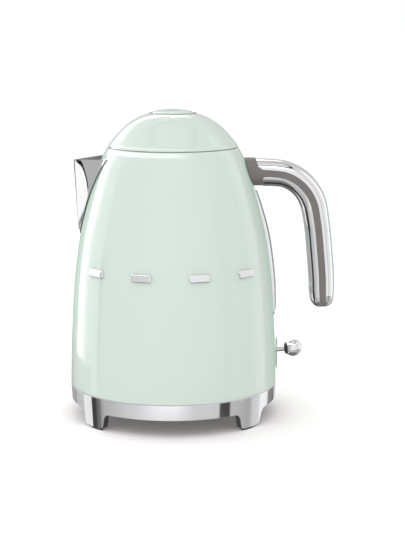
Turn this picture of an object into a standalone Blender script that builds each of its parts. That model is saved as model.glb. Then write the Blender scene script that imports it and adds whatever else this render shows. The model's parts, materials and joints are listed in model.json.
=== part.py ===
"""Retro electric jug kettle on its round power base.

Metres, +Z up.  The origin is the middle of the whole object's footprint on the table.  The spout
points along -X, the handle along +X, and the jug's own vertical axis stands at x = AXIS_X.
"""
import bpy
import bmesh
import math
from mathutils import Vector

# ---------------------------------------------------------------- driving dimensions, in metres
MM = 0.001
HEIGHT = 248 * MM
BODY_RADIUS = 84 * MM
HANDLE_REACH = 131.1 * MM
AXIS_X = (BODY_RADIUS - HANDLE_REACH) / 2
GAP = 0.3 * MM
STEPS = 40
FEW_STEPS = 28
WELD = 0.00001

RING_BOTTOM = 14 * MM
RING_TOP = 25.9 * MM
FOOT_AZIMUTH = 47.0
FOOT_HALF_WIDTH = 8.0 * MM
FOOT_FILLET = 7.0 * MM
PAD_HEIGHT = 1.0 * MM
FOOT_DROP = RING_BOTTOM - PAD_HEIGHT - GAP
RING_DEPTH = 4 * MM
RING_TAPER = 0.7 * MM
RING_EDGE = 0.8 * MM

LID_SEAM = 218 * MM
WALL = 1.2 * MM
SHEET = 0.8 * MM
FLOOR_Z = 66 * MM
KEEL_LOW = 148.5 * MM
SPOUT_RIM = 207.6 * MM
SPOUT_REACH = 80.1 * MM
SPOUT_HALF_WIDTH = 28 * MM
SPOUT_RISE = 2.5 * MM

HINGE_X = 47.9 * MM
HINGE_Z = 219.3 * MM
EYE_RADIUS = 1.6 * MM
PIN_RADIUS = 0.8 * MM
MOUTH_RADIUS = 41.6 * MM
LEVER_PIVOT = (66 * MM, 49 * MM)
ROD_OFFSET = 12 * MM
BALL_CENTRE = (98 * MM, 53.1 * MM)
BALL_RADIUS = 7 * MM
BUTTON_RADIUS = 16.5 * MM
BEZEL_RADIUS = 19.6 * MM
EMBLEM_ANGLES = (-48, -17, 16, 47)

# Outer profile of the painted jug, bottom to top: (radius, height)
JUG_PROFILE = [(83.9, 26.4), (83.4, 50), (82.0, 80), (80.0, 110), (77.6, 130), (74.4, 150),
               (69.5, 170), (63.8, 190), (58.8, 205), (55.3, 213), (52.4, 218)]
# Outer profile of the lid, seam to the edge of the button's opening
LID_PROFILE = [(52.1, 218.4), (51.7, 219.5), (48.4, 224), (43.2, 230), (38.8, 234.3),
               (33.2, 238.5), (26.5, 242.2), (18.9, 244.9)]
# Middle line of the handle seen from the side: (x from the jug's axis, height, half thickness)
HANDLE_LINE = [(69.5, 197.6, 11.2), (80, 197.3, 10.9), (90, 196.0, 10.7), (99.5, 191.4, 10.7),
               (107.2, 184.0, 10.7), (112.6, 174.2, 10.8), (115.6, 160.5, 10.6),
               (118.5, 135.5, 10.6), (120.4, 112.0, 10.5), (120.8, 99.0, 10.1), (121.1, 92.5, 8.9),
               (121.6, 88.3, 6.0)]
HANDLE_HALF_WIDTH = 13.5 * MM


# ---------------------------------------------------------------- scene and collections
for old in list(bpy.data.objects):
    bpy.data.objects.remove(old, do_unlink=True)

KETTLE = bpy.data.collections.new("kettle")
CUTTERS = bpy.data.collections.new("cutters")
bpy.context.scene.collection.children.link(KETTLE)
bpy.context.scene.collection.children.link(CUTTERS)

COLOURS = {
    "painted": ((0.65, 0.77, 0.68, 1), 0.15, 0.0),
    "chrome": ((0.85, 0.85, 0.86, 1), 0.06, 1.0),
    "steel": ((0.62, 0.61, 0.60, 1), 0.3, 1.0),
    "grey_plastic": ((0.21, 0.19, 0.18, 1), 0.4, 0.0),
    "white_plastic": ((0.7, 0.7, 0.68, 1), 0.4, 0.0),
    "dark_plastic": ((0.03, 0.03, 0.03, 1), 0.5, 0.0),
    "rubber": ((0.04, 0.04, 0.04, 1), 0.8, 0.0),
    "silicone": ((0.75, 0.74, 0.72, 1), 0.6, 0.0),
    "clear": ((0.85, 0.87, 0.9, 1), 0.05, 0.0),
}


def material(name):
    """One Principled material for each finish."""
    found = bpy.data.materials.get(name)
    if found:
        return found
    colour, rough, metal = COLOURS[name]
    made = bpy.data.materials.new(name)
    made.use_nodes = True
    shader = made.node_tree.nodes["Principled BSDF"]
    shader.inputs["Base Color"].default_value = colour
    shader.inputs["Roughness"].default_value = rough
    shader.inputs["Metallic"].default_value = metal
    return made


def add_object(name, data, finish=None, place=(AXIS_X, 0, 0)):
    """Link a mesh or curve as a part of the kettle, or as a cutter when it has no finish."""
    made = bpy.data.objects.new(name, data)
    made.location = place
    if finish:
        made.data.materials.append(material(finish))
        KETTLE.objects.link(made)
    else:
        made.hide_render = True
        made.display_type = 'WIRE'
        CUTTERS.objects.link(made)
    return made


def smooth(made, angle=35):
    made.data.shade_smooth()
    made.data.set_sharp_from_angle(angle=math.radians(angle))


def mesh_from(name, fill):
    """A mesh whose contents the function fill(bm) makes."""
    data = bpy.data.meshes.new(name)
    bm = bmesh.new()
    fill(bm)
    bmesh.ops.recalc_face_normals(bm, faces=bm.faces)
    bm.to_mesh(data)
    bm.free()
    return data


# ---------------------------------------------------------------- shapes
def turned(name, profile, finish, steps=STEPS):
    """A solid of revolution about Z; profile is a closed outline of (radius, height) in metres.

    A point on the axis (radius 0) starts and ends an outline that closes there.
    """
    open_at_axis = profile[0][0] == 0
    data = bpy.data.meshes.new(name)
    count = len(profile)
    edges = [(i, i + 1) for i in range(count - 1)]
    if not open_at_axis:
        edges.append((count - 1, 0))
    data.from_pydata([(r, 0, z) for r, z in profile], edges, [])
    made = add_object(name, data, finish)
    screw = made.modifiers.new("turn", 'SCREW')
    screw.steps = steps
    screw.render_steps = steps
    screw.use_merge_vertices = True
    screw.merge_threshold = WELD
    return made


def turned_shell(name, profile, thickness, finish, steps=STEPS):
    """A turned sheet: the outer line, top to bottom, thickened inwards."""
    data = bpy.data.meshes.new(name)
    points = [(r, 0, z) for r, z in profile]
    data.from_pydata(points, [(i, i + 1) for i in range(len(points) - 1)], [])
    made = add_object(name, data, finish)
    screw = made.modifiers.new("turn", 'SCREW')
    screw.steps = steps
    screw.render_steps = steps
    screw.use_merge_vertices = True
    screw.merge_threshold = WELD
    solid = made.modifiers.new("wall", 'SOLIDIFY')
    solid.thickness = thickness
    solid.offset = -1
    solid.use_even_offset = True
    return made


def box(name, low, high, finish=None, bevel=0.0):
    """A box between two corners given from the jug's axis."""
    middle = [(a + b) / 2 for a, b in zip(low, high)]
    size = [b - a for a, b in zip(low, high)]

    def fill(bm):
        bmesh.ops.create_cube(bm, size=1.0)
        bmesh.ops.scale(bm, vec=size, verts=bm.verts)

    place = (AXIS_X + middle[0], middle[1], middle[2])
    made = add_object(name, mesh_from(name, fill), finish, place)
    if bevel:
        edge = made.modifiers.new("edges", 'BEVEL')
        edge.width = bevel
        edge.segments = 2
        edge.limit_method = 'ANGLE'
    return made


def rod(name, start, end, radius, finish=None, sides=16):
    """A round bar between two points given from the jug's axis."""
    a = Vector(start)
    b = Vector(end)

    def fill(bm):
        bmesh.ops.create_cone(bm, cap_ends=True, segments=sides, radius1=radius,
                              radius2=radius, depth=(b - a).length)

    made = add_object(name, mesh_from(name, fill), finish)
    made.location = (a + b) / 2 + Vector((AXIS_X, 0, 0))
    made.rotation_euler = (b - a).to_track_quat('Z', 'Y').to_euler()
    return made


def loft(name, rings, finish=None, closed=True, caps=True):
    """Skin a list of equal rings of points; closed joins each ring's ends."""
    def fill(bm):
        rows = [[bm.verts.new(p) for p in ring] for ring in rings]
        width = len(rows[0])
        last = width if closed else width - 1
        for low, high in zip(rows, rows[1:]):
            for i in range(last):
                j = (i + 1) % width
                bm.faces.new((low[i], low[j], high[j], high[i]))
        if closed and caps:
            bm.faces.new(rows[0])
            bm.faces.new(list(reversed(rows[-1])))

    return add_object(name, mesh_from(name, fill), finish)


def side_plate(name, outline, half_width, finish=None):
    """A flat outline in the XZ plane, given from the jug's axis, extruded along Y."""
    curve = bpy.data.curves.new(name, 'CURVE')
    curve.dimensions = '2D'
    curve.fill_mode = 'BOTH'
    curve.extrude = half_width
    line = curve.splines.new('POLY')
    line.points.add(len(outline) - 1)
    for point, (x, z) in zip(line.points, outline):
        point.co = (x, z, 0, 1)
    line.use_cyclic_u = True
    made = add_object(name, curve, finish)
    made.rotation_euler = (math.pi / 2, 0, 0)
    return solid_mesh(made)


def solid_mesh(made):
    """Turn a curve object into a closed mesh object in the same place."""
    bpy.context.view_layer.update()
    graph = bpy.context.evaluated_depsgraph_get()
    data = bpy.data.meshes.new_from_object(made.evaluated_get(graph))
    bm = bmesh.new()
    bm.from_mesh(data)
    bmesh.ops.remove_doubles(bm, verts=bm.verts, dist=WELD)
    bmesh.ops.recalc_face_normals(bm, faces=bm.faces)
    bm.to_mesh(data)
    bm.free()
    name = made.name
    matrix = made.matrix_world.copy()
    home = made.users_collection[0]
    bpy.data.objects.remove(made, do_unlink=True)
    result = bpy.data.objects.new(name, data)
    result.matrix_world = matrix
    home.objects.link(result)
    if home == CUTTERS:
        result.hide_render = True
        result.display_type = 'WIRE'
    return result


def tube(name, points, radius, finish, resolution=2):
    """A round wire or tube through points given from the jug's axis."""
    curve = bpy.data.curves.new(name, 'CURVE')
    curve.dimensions = '3D'
    curve.bevel_depth = radius
    curve.bevel_resolution = resolution
    curve.use_fill_caps = True
    line = curve.splines.new('POLY')
    line.points.add(len(points) - 1)
    for point, place in zip(line.points, points):
        point.co = (*place, 1)
    return solid_mesh(add_object(name, curve, finish))


def cut(made, cutter, operation='DIFFERENCE'):
    step = made.modifiers.new(operation.lower(), 'BOOLEAN')
    step.operation = operation
    step.object = cutter


def in_mm(points):
    return [tuple(value * MM for value in point) for point in points]


def radius_at(profile, height):
    """Radius of a profile given bottom to top at one height."""
    for (r1, z1), (r2, z2) in zip(profile, profile[1:]):
        if height <= z2:
            return r1 + (r2 - r1) * (height - z1) / (z2 - z1)
    return profile[-1][0]


def on_circle(radius, degrees, height):
    angle = math.radians(degrees)
    return (radius * math.cos(angle), radius * math.sin(angle), height)


def spline_through(points, parts):
    """Points of a smooth line through the given ones, by Catmull-Rom."""
    ends = [points[0], *points, points[-1]]
    result = []
    for i in range(1, len(ends) - 2):
        for k in range(parts):
            t = k / parts
            row = []
            for a, b, c, d in zip(ends[i - 1], ends[i], ends[i + 1], ends[i + 2]):
                row.append(0.5 * (2 * b + (c - a) * t + (2 * a - 5 * b + 4 * c - d) * t * t
                                  + (3 * b - a - 3 * c + d) * t ** 3))
            result.append(tuple(row))
    result.append(tuple(points[-1]))
    return result


# ---------------------------------------------------------------- power base
def foot_azimuths():
    return (90 - FOOT_AZIMUTH, 90 + FOOT_AZIMUTH, 270 - FOOT_AZIMUTH, 270 + FOOT_AZIMUTH)


def foot_reach(degrees):
    """How far the ring's lower edge comes down at an azimuth: 1 on a foot, 0 between feet."""
    away = min(abs((degrees - foot + 180) % 360 - 180) for foot in foot_azimuths())
    arc = math.radians(away) * BODY_RADIUS
    if arc <= FOOT_HALF_WIDTH:
        return 1.0
    reach = (arc - FOOT_HALF_WIDTH) / FOOT_FILLET
    if reach >= 1:
        return 0.0
    return (1 - math.sqrt(1 - (1 - reach) ** 2)) * FOOT_FILLET / FOOT_DROP


def ring_stations():
    """Azimuths of the ring's sections, closer together where the feet's edges are."""
    marks = {float(step) for step in range(0, 360, 9)}
    for foot in foot_azimuths():
        for arc in (0.0, 0.03, 0.14, 0.36, 0.65, 1.0):
            away = math.degrees((FOOT_HALF_WIDTH + arc * FOOT_FILLET) / BODY_RADIUS)
            marks.add(round(foot + away, 4))
            marks.add(round(foot - away, 4))
        marks.add(float(foot))
    kept = []
    for mark in sorted(marks):
        if not kept or mark - kept[-1] > 0.03:
            kept.append(mark)
    return kept


def base_ring():
    inner = BODY_RADIUS - RING_DEPTH
    rings = []
    for azimuth in ring_stations():
        low = RING_BOTTOM - foot_reach(azimuth) * FOOT_DROP
        taper = RING_TAPER * (RING_TOP - low) / (RING_TOP - RING_BOTTOM)
        rings.append([on_circle(BODY_RADIUS, azimuth, RING_TOP - RING_EDGE),
                      on_circle(BODY_RADIUS - RING_EDGE, azimuth, RING_TOP),
                      on_circle(inner, azimuth, RING_TOP),
                      on_circle(inner, azimuth, low),
                      on_circle(BODY_RADIUS - taper, azimuth, low)])
    rings.append(rings[0])
    made = loft("base_ring", rings, "chrome", caps=False)
    weld = made.modifiers.new("close", 'WELD')
    weld.merge_threshold = WELD
    smooth(made)


def power_base():
    base_ring()
    radius = BODY_RADIUS - RING_DEPTH - GAP
    turned("base_top", in_mm([(22, 25.4), (77, 25.4), (radius / MM, 24), (radius / MM, 20),
                              (22, 20)]), "dark_plastic", FEW_STEPS)
    turned("base_socket", in_mm([(0, 33), (4, 33), (4, 29), (9, 29), (9, 33), (17, 33), (18, 32),
                                 (18, 26), (21.7, 26), (21.7, 19.7), (0, 19.7)]),
           "dark_plastic", FEW_STEPS)
    turned("base_underside", in_mm([(0, 16), (radius / MM, 16), (radius / MM, 13), (70, 12),
                                    (0, 12)]), "dark_plastic", FEW_STEPS)
    box("cord_inlet", (-7 * MM, 56 * MM, 5 * MM), (7 * MM, 76 * MM, 11.7 * MM), "grey_plastic")
    for number, azimuth in enumerate(foot_azimuths(), 1):
        low = []
        high = []
        half = math.degrees(FOOT_HALF_WIDTH / BODY_RADIUS)
        for radial, side in ((-3.6, -1), (-1.6, -1), (-1.6, 0), (-1.6, 1), (-3.6, 1), (-3.6, 0)):
            place = on_circle(BODY_RADIUS + radial * MM, azimuth + side * half, 0)
            low.append(place)
            high.append((place[0], place[1], PAD_HEIGHT))
        loft(f"foot_pad_{number}", [low, high], "rubber")
    for number, azimuth in enumerate((30, 150, 270), 1):
        x, y, _ = on_circle(60 * MM, azimuth, 0)
        rod(f"base_screw_{number}", (x, y, 11.7 * MM), (x, y, 10.2 * MM), 2.8 * MM, "steel", 12)


# ---------------------------------------------------------------- jug
def jug_bottom():
    floor = FLOOR_Z / MM
    turned("jug_connector", in_mm([(9.5, 45), (21, 45), (21, 27.2), (18.5, 27.2), (18.5, 34),
                                   (9.5, 34)]), "dark_plastic", FEW_STEPS)
    turned("jug_underside", in_mm([(21.4, 30), (82, 30), (82, 27), (79, 26.2), (21.4, 26.2)]),
           "dark_plastic", STEPS)
    unit = turned("control_unit", in_mm([(0, 60), (26, 60), (30, 57), (30, 48), (28, 45.4),
                                         (0, 45.4)]), "white_plastic", FEW_STEPS)
    rod_x = LEVER_PIVOT[0] - ROD_OFFSET
    arm = box("control_arm", (20 * MM, -7 * MM, 57.4 * MM), (rod_x + 5 * MM, 7 * MM, 63 * MM))
    cut(unit, arm, 'UNION')
    cut(unit, rod("rod_bore", (rod_x, 0, 50 * MM), (rod_x, 0, 70 * MM), 1.9 * MM, sides=12))
    points = [on_circle(45 * MM, azimuth, 61.6 * MM) for azimuth in range(25, 336, 10)]
    tube("heating_element", points, 2.6 * MM, "steel", 2)
    turned("heating_plate", in_mm([(0, floor + 1), (78.8, floor + 1), (78.8, floor - 1),
                                   (0, floor - 1)]), "steel", FEW_STEPS)
    turned("plate_seal", in_mm([(79.2, floor + 5), (80.5, floor + 5), (80.5, floor - 2),
                                (79.2, floor - 2)]), "silicone", FEW_STEPS)
    for number, azimuth in enumerate((90, 210, 330), 1):
        x, y, _ = on_circle(68 * MM, azimuth, 0)
        rod(f"jug_screw_{number}", (x, y, 30.3 * MM), (x, y, 34 * MM), 2.6 * MM, "steel", 10)


jug_profile = in_mm(JUG_PROFILE)


def spout_half_width(height):
    """Half width of the spout's flange on the jug's wall at one height."""
    share = max(0.0, (height - KEEL_LOW) / (SPOUT_RIM - KEEL_LOW))
    return SPOUT_HALF_WIDTH * share ** 1.15


def spout_keel(height):
    """How far the beak's edge stands from the jug's axis at one height."""
    share = (height - KEEL_LOW) / (SPOUT_RIM - KEEL_LOW)
    start = radius_at(jug_profile, KEEL_LOW) + 0.8 * MM
    return start + (SPOUT_REACH - SHEET - start) * share ** 0.8


def spout_section(height):
    """One level of the beak: flange, side wall, edge, side wall, flange."""
    wall = radius_at(jug_profile, height) + GAP
    outer = max(spout_half_width(height), 2.2 * MM)
    root = outer * 0.78
    tip = max(spout_keel(height), wall + 0.6 * MM)
    half = [(-wall * math.cos(math.asin(outer / wall)), outer),
            (-wall * math.cos(math.asin(root / wall)), root)]
    for share, bow in ((0.35, 0.03), (0.7, 0.05), (0.93, 0.035)):
        x = half[1][0] * (1 - share) - tip * share
        half.append((x, root * (1 - share) + root * bow))
    rise = SPOUT_RISE * (height - KEEL_LOW) / (SPOUT_RIM - KEEL_LOW)

    def lifted(x, y):
        back = (tip + x) / max(tip + half[0][0], 0.001)
        return (x, y, height + rise * back)

    left = [lifted(x, y) for x, y in half]
    right = [lifted(x, -y) for x, y in reversed(half)]
    return left + [lifted(-tip, 0)] + right


def spout():
    levels = [KEEL_LOW + (SPOUT_RIM - KEEL_LOW) * share
              for share in (0.0, 0.1, 0.22, 0.36, 0.5, 0.64, 0.78, 0.9, 1.0)]
    made = loft("spout", [spout_section(level) for level in levels], "chrome", closed=False)
    solid = made.modifiers.new("sheet", 'SOLIDIFY')
    solid.thickness = SHEET
    solid.offset = 1
    smooth(made)


def body_shell():
    made = turned_shell("body_shell", list(reversed(jug_profile)), WALL, "painted")
    top = SPOUT_RIM - 1.5 * MM
    bottom = KEEL_LOW + 9 * MM
    half = spout_half_width(top) * 0.72
    outline = [(0, bottom), (half, top), (-half, top)]
    rings = [[(x, y, z) for y, z in outline] for x in (-90 * MM, -40 * MM)]
    cut(made, loft("spout_cut", rings))
    cut(made, box("window_cut", (60 * MM, -4.9 * MM, 85 * MM), (90 * MM, 4.9 * MM, 183 * MM)))
    cut(made, box("lever_cut", (78 * MM, -3.5 * MM, 40 * MM), (90 * MM, 3.5 * MM, 58 * MM)))
    for x, y, z in handle_screw_places():
        cut(made, rod("screw_cut", (x - 8 * MM, y, z), (x + 12 * MM, y, z), 2.6 * MM, sides=12))
    cut(made, hinge_relief())
    smooth(made)


def hinge_relief():
    """Space the lid's back edge needs as it turns about the hinge, along the hinge's axis."""
    edge_radius, edge_height = in_mm(LID_PROFILE)[0]
    rings = []
    for step in range(-3, 4):
        y = step * 5.6 * MM
        across = math.sqrt(edge_radius ** 2 - y ** 2) - HINGE_X
        reach = math.hypot(across, edge_height - HINGE_Z) + 0.25 * MM
        rings.append([(HINGE_X + reach * math.cos(2 * math.pi * i / 32), y,
                       HINGE_Z + reach * math.sin(2 * math.pi * i / 32)) for i in range(32)])
    return loft("hinge_relief", rings)


def handle_screw_places():
    return in_mm([(58, 0, 200), (63, 0, 190)])


def spout_filter():
    """Frame and mesh of the lift-out filter, just inside the wall behind the spout."""
    low = 156
    high = 203
    outer = [(0, low), (17.5, 198), (17.5, high), (-17.5, high), (-17.5, 198)]
    inner = [(0, 162), (14, 197), (14, 200), (-14, 200), (-14, 197)]
    slim = [(y * 0.955, 162.9 + (z - 162.9) * 0.975) for y, z in inner]

    def ring(points, inset):
        """The outline on a plane parallel to the wall, a distance inside it."""
        foot = WALL + inset - radius_at(jug_profile, low * MM)
        lean = radius_at(jug_profile, low * MM) - radius_at(jug_profile, high * MM)
        return [(foot + lean * (z - low) / (high - low), y * MM, z * MM) for y, z in points]

    frame = loft("spout_filter_frame", [ring(outer, 6 * MM), ring(outer, 8.4 * MM)],
                 "white_plastic")
    cut(frame, loft("filter_cut", [ring(inner, 0), ring(inner, 15 * MM)]))
    loft("spout_filter_mesh", [ring(slim, 7 * MM), ring(slim, 7.5 * MM)], "steel")


def hinge_rod(name, low, high, radius, finish=None, sides=16):
    """A bar on the hinge's axis between two places along Y."""
    return rod(name, (HINGE_X, low, HINGE_Z), (HINGE_X, high, HINGE_Z), radius, finish, sides)


def neck_and_hinge():
    """Plastic liner in the jug's mouth, with the hinge's fixed arm at the back."""
    lip = MOUTH_RADIUS / MM
    ring = turned("neck_ring", in_mm([(lip, 213), (50.4, 213), (52.4, 209), (53.4, 206),
                                      (52.2, 205.6), (50.6, 209), (lip, 210)]), "white_plastic",
                  STEPS)
    cut(ring, box("hinge_arm", (HINGE_X - 5 * MM, -2.4 * MM, HINGE_Z - 9 * MM),
                  (HINGE_X - 0.8 * MM, 2.4 * MM, HINGE_Z + 0.8 * MM)), 'UNION')
    cut(ring, hinge_rod("arm_eye", -2.4 * MM, 2.4 * MM, EYE_RADIUS), 'UNION')
    cut(ring, hinge_rod("arm_bore", -15 * MM, 15 * MM, PIN_RADIUS + GAP, sides=12))
    hinge_rod("hinge_pin", -7.6 * MM, 7.6 * MM, PIN_RADIUS, "steel", 10)
    turns = 2.5
    count = 25
    points = []
    for i in range(count + 1):
        angle = 2 * math.pi * turns * i / count
        points.append((HINGE_X + 1.45 * MM * math.cos(angle), (2.9 + 1.7 * i / count) * MM,
                       HINGE_Z + 1.45 * MM * math.sin(angle)))
    tube("lid_spring", points, 0.28 * MM, "steel", 1)


def steam_tube():
    """Tube down the inside of the wall, from the mouth to the steam switch."""
    bore = 3.2 * MM
    points = []
    for height in (202 * MM, 192 * MM, 175 * MM, 155 * MM, 130 * MM, 100 * MM, 76 * MM):
        radius = radius_at(jug_profile, height) - WALL - bore - 1.2 * MM
        points.append(on_circle(radius, 27, height))
    points[0] = on_circle(44 * MM, 27, 202 * MM)
    tube("steam_tube", points, bore, "white_plastic", 2)


def window():
    """Chrome frame and clear strip of the water gauge under the handle."""
    def strip(low, high, inside, proud, rows=7):
        """Outline between the wall and a bowed outer edge."""
        wall = []
        edge = []
        for row in range(rows):
            height = (low + (high - low) * row / (rows - 1)) * MM
            bow = math.sin(math.pi * row / (rows - 1)) ** 0.6 if 0 < row < rows - 1 else 0.0
            wall.append((radius_at(jug_profile, height) + inside, height))
            edge.append((radius_at(jug_profile, height) + (1.2 + proud * bow) * MM, height))
        return wall + list(reversed(edge))

    frame = side_plate("window_frame", strip(81.2, 186.8, GAP, 2.6), 8 * MM, "chrome")
    slot = side_plate("window_slot", strip(85, 183, -4 * MM, 9.0), 4.9 * MM)
    cut(frame, slot)
    side_plate("water_window", strip(85.5, 182.5, -3.4 * MM, 2.2), 4.5 * MM, "clear")
    inside = WALL + 0.9 * MM
    thickness = 1 * MM
    low = 81 * MM
    high = 187 * MM
    near = []
    for row in range(7):
        height = low + (high - low) * row / 6
        near.append((radius_at(jug_profile, height) - inside, height))
    far = [(radius - thickness, height) for radius, height in reversed(near)]
    gasket = side_plate("window_gasket", near + far, 8 * MM, "silicone")
    cut(gasket, box("gasket_cut", (55 * MM, -4.9 * MM, 85 * MM), (90 * MM, 4.9 * MM, 183 * MM)))


def emblems():
    """Four plain chrome bars pinned round the front of the wall."""
    height = 124 * MM
    thickness = 1.5 * MM
    radius = radius_at(jug_profile, height)
    lean = math.atan2(radius_at(jug_profile, height - 8 * MM)
                      - radius_at(jug_profile, height + 8 * MM), 16 * MM)
    for number, angle in enumerate(EMBLEM_ANGLES, 1):
        x, y, _ = on_circle(radius + thickness / 2 + 1.2 * GAP, angle - 90, height)
        made = box(f"emblem_{number}", (x - 8 * MM, y - thickness / 2, height - 3 * MM),
                   (x + 8 * MM, y + thickness / 2, height + 3 * MM), "chrome", 0.4 * MM)
        made.rotation_euler = (-lean, 0, math.radians(angle))


def handle():
    line = [tuple(v * MM for v in p) for p in spline_through(HANDLE_LINE, 2)]
    frames = []
    for i, (x, z, half) in enumerate(line):
        before = line[max(i - 1, 0)]
        after = line[min(i + 1, len(line) - 1)]
        along = Vector((after[0] - before[0], 0, after[1] - before[1])).normalized()
        outward = Vector((-along.z, 0, along.x))
        frames.append((Vector((x, 0, z)), outward, half))

    def sweep(outline, inset=0.0):
        """Place an outline of (across, outward) shares on every frame."""
        rings = []
        for centre, outward, half in frames:
            width = HANDLE_HALF_WIDTH * min(1, half / (10 * MM)) - inset
            rings.append([centre + Vector((0, across * width, 0))
                          + outward * (level * (half - inset)) for across, level in outline])
        return rings

    def arc(start, end, count):
        """Points of the rounded section between two angles, in degrees."""
        points = []
        for i in range(count):
            angle = math.radians(start + (end - start) * i / (count - 1))
            points.append((soft_power(math.cos(angle)), soft_power(math.sin(angle))))
        return points

    def sheet(name, start, end, offset):
        made = loft(name, sweep(arc(start, end, 9)), "chrome", closed=False)
        solid = made.modifiers.new("sheet", 'SOLIDIFY')
        solid.thickness = 1.0 * MM
        solid.offset = offset
        smooth(made)

    core = loft("handle_core", sweep(arc(0, 330, 12), 1.9 * MM), "grey_plastic")
    smooth(core)
    sheet("handle_outer_shell", 9, 171, -1)
    sheet("handle_inner_shell", -9, -171, 1)


def soft_power(value):
    """Shapes a circle's sine or cosine into those of a rounded box."""
    return math.copysign(abs(value) ** 0.72, value)


def jug_clearance():
    """The jug's outside, a little larger, to trim what is fastened to its wall."""
    margin = 1.5 * GAP
    side = [(radius + margin, height) for radius, height in reversed(jug_profile)]
    return turned("jug_clearance", [(0, LID_SEAM), *side, (0, side[-1][1])], None)


def bracket():
    """Grey root of the handle, from the jug's wall to the chrome shells."""
    rings = []
    for x in (50 * MM, HANDLE_LINE[0][0] * MM - GAP):
        ring = []
        for i in range(16):
            angle = 2 * math.pi * i / 16
            ring.append((x, soft_power(math.cos(angle)) * HANDLE_HALF_WIDTH,
                         198.2 * MM + soft_power(math.sin(angle)) * 11.2 * MM))
        rings.append(ring)
    made = loft("handle_bracket", rings, "grey_plastic")
    cut(made, jug_clearance())
    smooth(made)
    for number, place in enumerate(handle_screw_places(), 1):
        wall = radius_at(jug_profile, place[2]) - WALL
        rod(f"handle_screw_{number}", (wall - 6.2 * MM, place[1], place[2]),
            (wall - 3.6 * MM, place[1], place[2]), 3.4 * MM, "steel", 12)


# ---------------------------------------------------------------- switch
def switch():
    pivot = Vector((LEVER_PIVOT[0], 0, LEVER_PIVOT[1]))
    ball = Vector((BALL_CENTRE[0], 0, BALL_CENTRE[1]))
    along = (ball - pivot).normalized()
    plate = box("switch_plate", (84 * MM, -6 * MM, 37.4 * MM), (85 * MM, 6 * MM, 60.6 * MM), "steel")
    cut(plate, box("plate_cut", (80 * MM, -2.6 * MM, 41 * MM), (90 * MM, 2.6 * MM, 57 * MM)))
    lever = rod("switch_lever", pivot + along * 2 * MM, ball - along * (BALL_RADIUS + GAP),
                1.8 * MM, "steel")
    eye = rod("lever_eye", pivot - Vector((0, 3 * MM, 0)), pivot + Vector((0, 3 * MM, 0)),
              4 * MM, sides=20)
    tail = box("lever_tail", (pivot.x - 15 * MM, -2 * MM, pivot.z - 2 * MM),
               (pivot.x, 2 * MM, pivot.z + 1 * MM))
    hole = rod("lever_hole", pivot - Vector((0, 9 * MM, 0)), pivot + Vector((0, 9 * MM, 0)),
               1.9 * MM, sides=16)
    cut(lever, eye, 'UNION')
    cut(lever, tail, 'UNION')
    cut(lever, hole)
    rod("switch_pin", pivot - Vector((0, 8 * MM, 0)), pivot + Vector((0, 8 * MM, 0)), 1.5 * MM,
        "steel", 12)

    def fill(bm):
        bmesh.ops.create_uvsphere(bm, u_segments=20, v_segments=12, radius=BALL_RADIUS)

    made = add_object("switch_ball", mesh_from("switch_ball", fill), "chrome",
                      (AXIS_X + ball.x, 0, ball.z))
    made.rotation_euler = along.to_track_quat('Z', 'Y').to_euler()
    smooth(made)
    x = pivot.x - ROD_OFFSET
    rod("trip_rod", (x, 0, pivot.z + 1.6 * MM), (x, 0, pivot.z + 9.5 * MM), 1.6 * MM,
        "white_plastic", 12)
    bracket_block = box("lever_bracket", (pivot.x - 5 * MM, -7 * MM, 30.3 * MM),
                        (pivot.x + 5 * MM, 7 * MM, pivot.z + 4 * MM), "steel")
    cut(bracket_block, box("bracket_cut", (pivot.x - 9 * MM, -5 * MM, 32 * MM),
                           (pivot.x + 9 * MM, 5 * MM, 60 * MM)))
    cut(bracket_block, rod("bracket_bore", pivot - Vector((0, 12 * MM, 0)),
                           pivot + Vector((0, 12 * MM, 0)), 1.8 * MM, sides=12))


# ---------------------------------------------------------------- lid
def lid():
    lid_profile = in_mm(LID_PROFILE)
    dome = turned_shell("lid_dome", list(reversed(lid_profile)), 0.9 * MM, "painted")
    smooth(dome)

    def inside(height, inset):
        return radius_at(lid_profile, height * MM) / MM - 0.9 - inset

    skirt = MOUTH_RADIUS / MM - 2.2
    liner = turned("lid_liner", in_mm([(0, 219.2), (inside(220.4, 1.2), 219.8),
                                       (inside(219, 1.2), 218.5), (skirt, 218.5), (skirt, 210),
                                       (skirt - 1.5, 210), (skirt - 1.5, 217.2), (0, 217.2)]),
                   "white_plastic", STEPS)
    cut(liner, box("liner_slot", (HINGE_X - 7 * MM, -5 * MM, 205 * MM),
                   (HINGE_X + 6 * MM, 5 * MM, 230 * MM)))
    cut(liner, box("latch_slot", (-37.2 * MM, -4.6 * MM, 205 * MM),
                   (-29 * MM, 4.6 * MM, 230 * MM)))
    for side in (-1, 1):
        eye = hinge_rod("liner_eye", side * 5 * MM, side * 7.4 * MM, EYE_RADIUS)
        cut(liner, eye, 'UNION')
    cut(liner, hinge_rod("liner_bore", -15 * MM, 15 * MM, PIN_RADIUS + GAP, sides=12))
    turned("lid_seal", in_mm([(skirt + 0.3, 213.5), (skirt + 1.5, 212.2), (skirt + 1.5, 211.6),
                              (skirt + 0.3, 211)]), "silicone", FEW_STEPS)
    bezel = BEZEL_RADIUS / MM
    turned("button_bezel", in_mm([(17.2, 246.3), (18.9, 246.2), (bezel, 245.3), (18.3, 245.3),
                                  (18.3, 238), (16.9, 238), (16.9, 245.8)]), "chrome",
           FEW_STEPS)
    top = HEIGHT / MM
    side = BUTTON_RADIUS / MM
    turned("lid_button", in_mm([(0, top), (6, top - 0.15), (12, top - 0.8), (15.4, top - 1.6),
                                (side, top - 2.6), (side, 239), (14.8, 239), (14.8, top - 4),
                                (3, top - 4), (3, 226), (0, 226)]),
           "painted", FEW_STEPS)


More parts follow.
